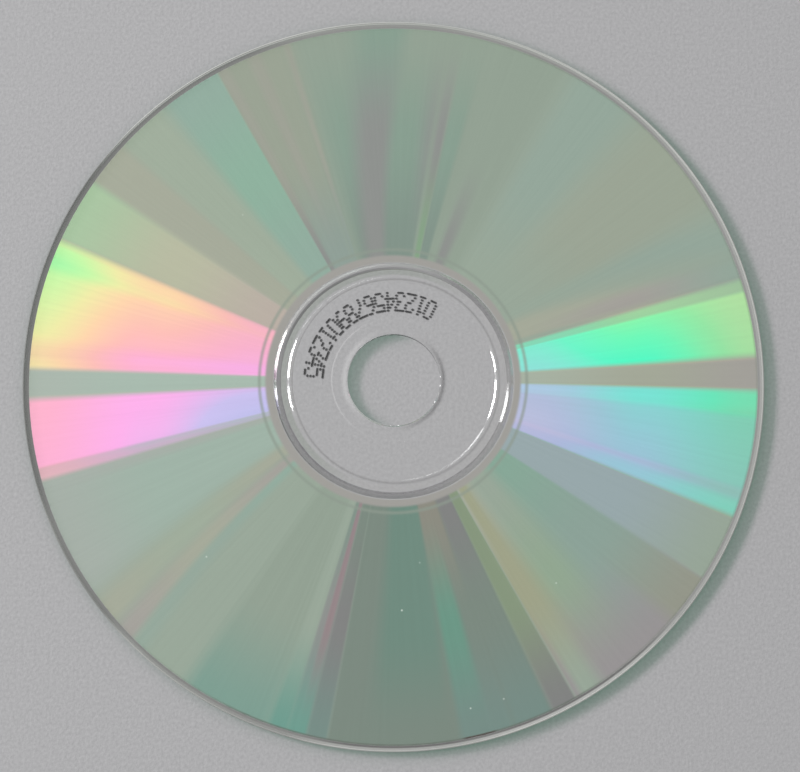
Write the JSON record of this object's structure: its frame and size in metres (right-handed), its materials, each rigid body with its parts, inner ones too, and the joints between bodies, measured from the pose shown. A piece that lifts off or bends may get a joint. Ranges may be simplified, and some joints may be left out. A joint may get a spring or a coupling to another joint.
{
  "type": "compact disc",
  "caption": "Round recordable optical disc with a centre hole, a clear hub and a reflective data side that shows rainbow wedges.",
  "frame": {"origin": "centre of the lacquered label face that the disc lies on", "axes": "+Z is the spindle axis and points out of the data side; X and Y lie in the plane of the disc"},
  "size_m": [0.12, 0.12, 0.0014],
  "materials": {
    "clear_polycarbonate": "clear moulded polycarbonate with polished faces",
    "recording_dye": "green-tinted dye over metal, with pastel diffraction colours in radial wedges",
    "reflective_metal": "bright metal film seen through clear plastic",
    "label_lacquer": "thin glossy protective lacquer over silver metal, unprinted"
  },
  "bodies": {
    "root": {"substrate": "clear_polycarbonate", "dye_layer": "recording_dye", "reflective_layer": "reflective_metal", "lacquer_coat": "label_lacquer"}
  },
  "joints": []
}
